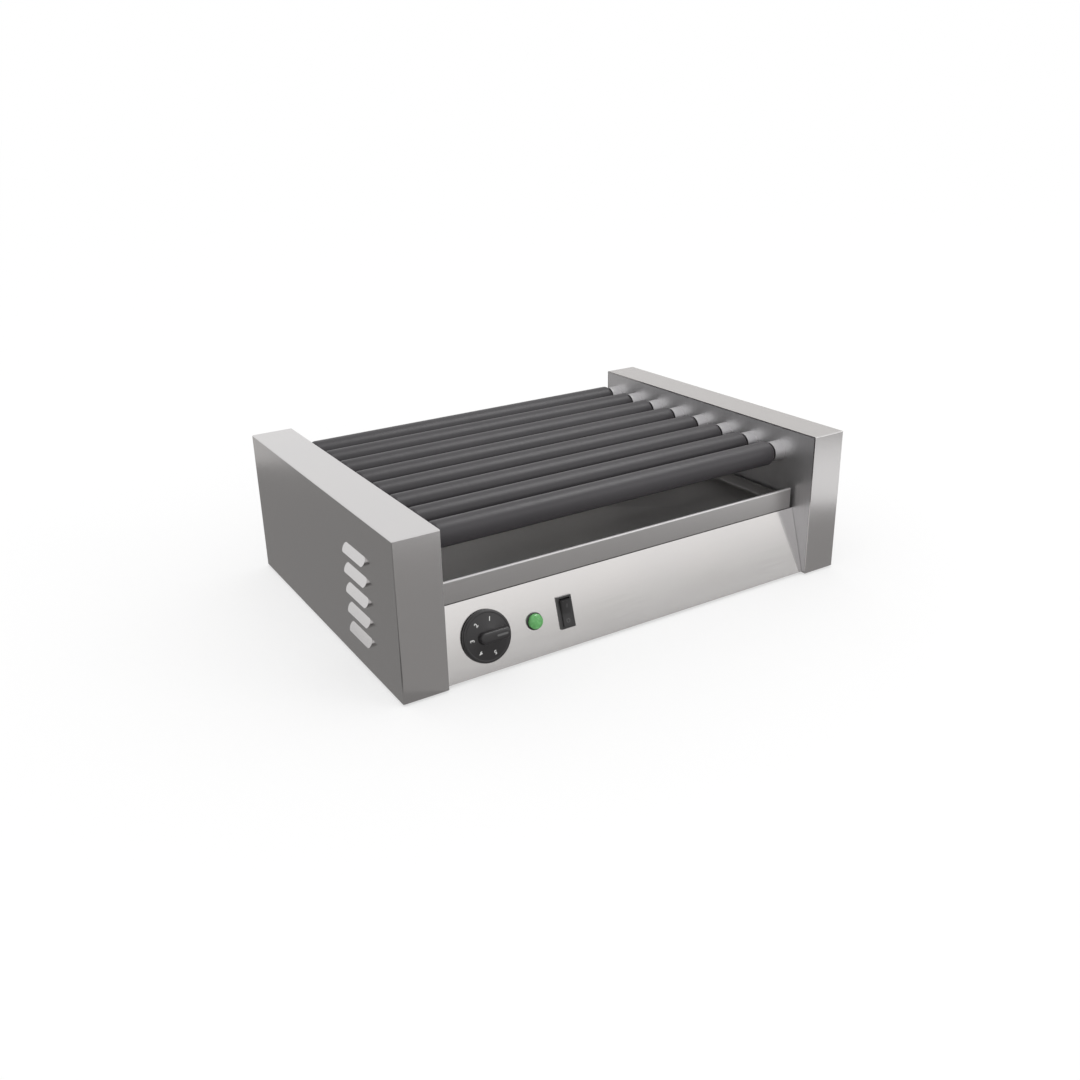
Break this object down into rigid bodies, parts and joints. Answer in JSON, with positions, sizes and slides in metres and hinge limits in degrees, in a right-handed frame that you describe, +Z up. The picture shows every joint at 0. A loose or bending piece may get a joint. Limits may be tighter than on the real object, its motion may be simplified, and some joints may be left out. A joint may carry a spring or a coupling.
{
  "type": "hot dog roller grill",
  "caption": "Countertop electric roller grill: parallel driven heated rollers between two box housings, over a slide-out drip tray and a leaning control panel.",
  "frame": {"origin": "on the bench, under the middle of the machine, level with the bottoms of the feet", "axes": "+Z up; +X along the rollers, to the right of someone facing the control panel; -Y towards that person"},
  "size_m": [0.5088, 0.35, 0.15],
  "materials": {
    "housing_steel": "satin brushed stainless sheet",
    "plate_steel": "satin brushed stainless sheet",
    "tray_steel": "satin stainless sheet",
    "roller_coating": "satin non-stick coating",
    "journal_steel": "turned steel",
    "bush_steel": "polished steel",
    "zinc_steel": "zinc plated",
    "chain_steel": "oiled steel",
    "heater_sheath": "oxidised steel tube",
    "ceramic": "glazed ceramic",
    "motor_paint": "black enamel",
    "knob_black": "matte black phenolic",
    "switch_black": "satin black nylon",
    "lens_green": "clear green polycarbonate",
    "bezel_black": "black nylon",
    "rubber_black": "moulded rubber",
    "screw_steel": "stainless screws",
    "gland_nylon": "black nylon",
    "block_plastic": "natural polyamide"
  },
  "bodies": {
    "base": {"left_cover": "housing_steel", "right_cover": "housing_steel", "front_fascia": "housing_steel", "rear_panel": "housing_steel", "left_inner_plate": "plate_steel", "right_inner_plate": "plate_steel", "base_pan": "tray_steel", "heat_shield": "tray_steel", "tray_runners": "tray_steel", "base_screws": "screw_steel", "foot_screws": "screw_steel", "cover_screws": "screw_steel", "motor_screws": "screw_steel", "feet": "rubber_black", "left_bushings": "bush_steel", "right_bushings": "bush_steel", "timing_chain": "chain_steel", "drive_chain": "chain_steel", "gear_motor": "motor_paint", "heating_elements": "heater_sheath", "heater_insulators": "ceramic", "heater_rails": "zinc_steel", "thermostat_body": "zinc_steel", "pilot_lamp_body": "bezel_black", "pilot_lamp_lens": "lens_green", "rocker_switch_housing": "switch_black", "cable_gland": "gland_nylon", "gland_nut": "gland_nylon", "terminal_block": "block_plastic"},
    "roller_1": {"roller_tube_1": "roller_coating", "roller_journals_1": "journal_steel", "roller_sprocket_1": "zinc_steel"},
    "roller_2": {"roller_tube_2": "roller_coating", "roller_journals_2": "journal_steel", "roller_sprocket_2": "zinc_steel"},
    "roller_3": {"roller_tube_3": "roller_coating", "roller_journals_3": "journal_steel", "roller_sprocket_3": "zinc_steel"},
    "roller_4": {"roller_tube_4": "roller_coating", "roller_journals_4": "journal_steel", "roller_sprocket_4": "zinc_steel"},
    "roller_5": {"roller_tube_5": "roller_coating", "roller_journals_5": "journal_steel", "roller_sprocket_5": "zinc_steel", "driven_sprocket": "zinc_steel"},
    "roller_6": {"roller_tube_6": "roller_coating", "roller_journals_6": "journal_steel", "roller_sprocket_6": "zinc_steel"},
    "roller_7": {"roller_tube_7": "roller_coating", "roller_journals_7": "journal_steel", "roller_sprocket_7": "zinc_steel"},
    "roller_8": {"roller_tube_8": "roller_coating", "roller_journals_8": "journal_steel", "roller_sprocket_8": "zinc_steel"},
    "motor_output": {"motor_shaft": "journal_steel", "motor_sprocket": "zinc_steel"},
    "tray": {"drip_tray": "tray_steel"},
    "knob": {"thermostat_knob": "knob_black", "thermostat_shaft": "journal_steel"},
    "switch_rocker": {"rocker": "switch_black"}
  },
  "joints": [
    {"name": "roller_5_spin", "type": "hinge", "parent": "base", "child": "roller_5", "pos_m": [0.002, 0.035, 0.124], "axis": [1, 0, 0], "continuous": true, "deforming": ["timing_chain", "drive_chain"]},
    {"name": "roller_1_spin", "type": "hinge", "parent": "base", "child": "roller_1", "pos_m": [0.002, -0.125, 0.124], "axis": [1, 0, 0], "continuous": true},
    {"name": "roller_2_spin", "type": "hinge", "parent": "base", "child": "roller_2", "pos_m": [0.002, -0.085, 0.124], "axis": [1, 0, 0], "continuous": true},
    {"name": "roller_3_spin", "type": "hinge", "parent": "base", "child": "roller_3", "pos_m": [0.002, -0.045, 0.124], "axis": [1, 0, 0], "continuous": true},
    {"name": "roller_4_spin", "type": "hinge", "parent": "base", "child": "roller_4", "pos_m": [0.002, -0.005, 0.124], "axis": [1, 0, 0], "continuous": true},
    {"name": "roller_6_spin", "type": "hinge", "parent": "base", "child": "roller_6", "pos_m": [0.002, 0.075, 0.124], "axis": [1, 0, 0], "continuous": true},
    {"name": "roller_7_spin", "type": "hinge", "parent": "base", "child": "roller_7", "pos_m": [0.002, 0.115, 0.124], "axis": [1, 0, 0], "continuous": true},
    {"name": "roller_8_spin", "type": "hinge", "parent": "base", "child": "roller_8", "pos_m": [0.002, 0.155, 0.124], "axis": [1, 0, 0], "continuous": true},
    {"name": "motor_shaft_spin", "type": "hinge", "parent": "base", "child": "motor_output", "pos_m": [-0.215, 0.035, 0.036], "axis": [1, 0, 0], "continuous": true},
    {"name": "drip_tray_slide", "type": "slide", "parent": "base", "child": "tray", "axis": [0, -1, 0], "range_m": [0, 0.27]},
    {"name": "thermostat_turn", "type": "hinge", "parent": "base", "child": "knob", "pos_m": [-0.162, -0.1659, 0.03586], "axis": [0, 0.9587, -0.2845], "range_deg": [0, 300]},
    {"name": "power_rocker", "type": "hinge", "parent": "base", "child": "switch_rocker", "pos_m": [-0.0788, -0.16015, 0.03415], "axis": [-1, 0, 0], "range_deg": [0, 16]}
  ],
  "couplings": [
    {"joint": "roller_1_spin", "follows": "roller_5_spin", "ratio": 1},
    {"joint": "roller_2_spin", "follows": "roller_5_spin", "ratio": 1},
    {"joint": "roller_3_spin", "follows": "roller_5_spin", "ratio": 1},
    {"joint": "roller_4_spin", "follows": "roller_5_spin", "ratio": 1},
    {"joint": "roller_6_spin", "follows": "roller_5_spin", "ratio": 1},
    {"joint": "roller_7_spin", "follows": "roller_5_spin", "ratio": 1},
    {"joint": "roller_8_spin", "follows": "roller_5_spin", "ratio": 1},
    {"joint": "motor_shaft_spin", "follows": "roller_5_spin", "ratio": 1}
  ]
}
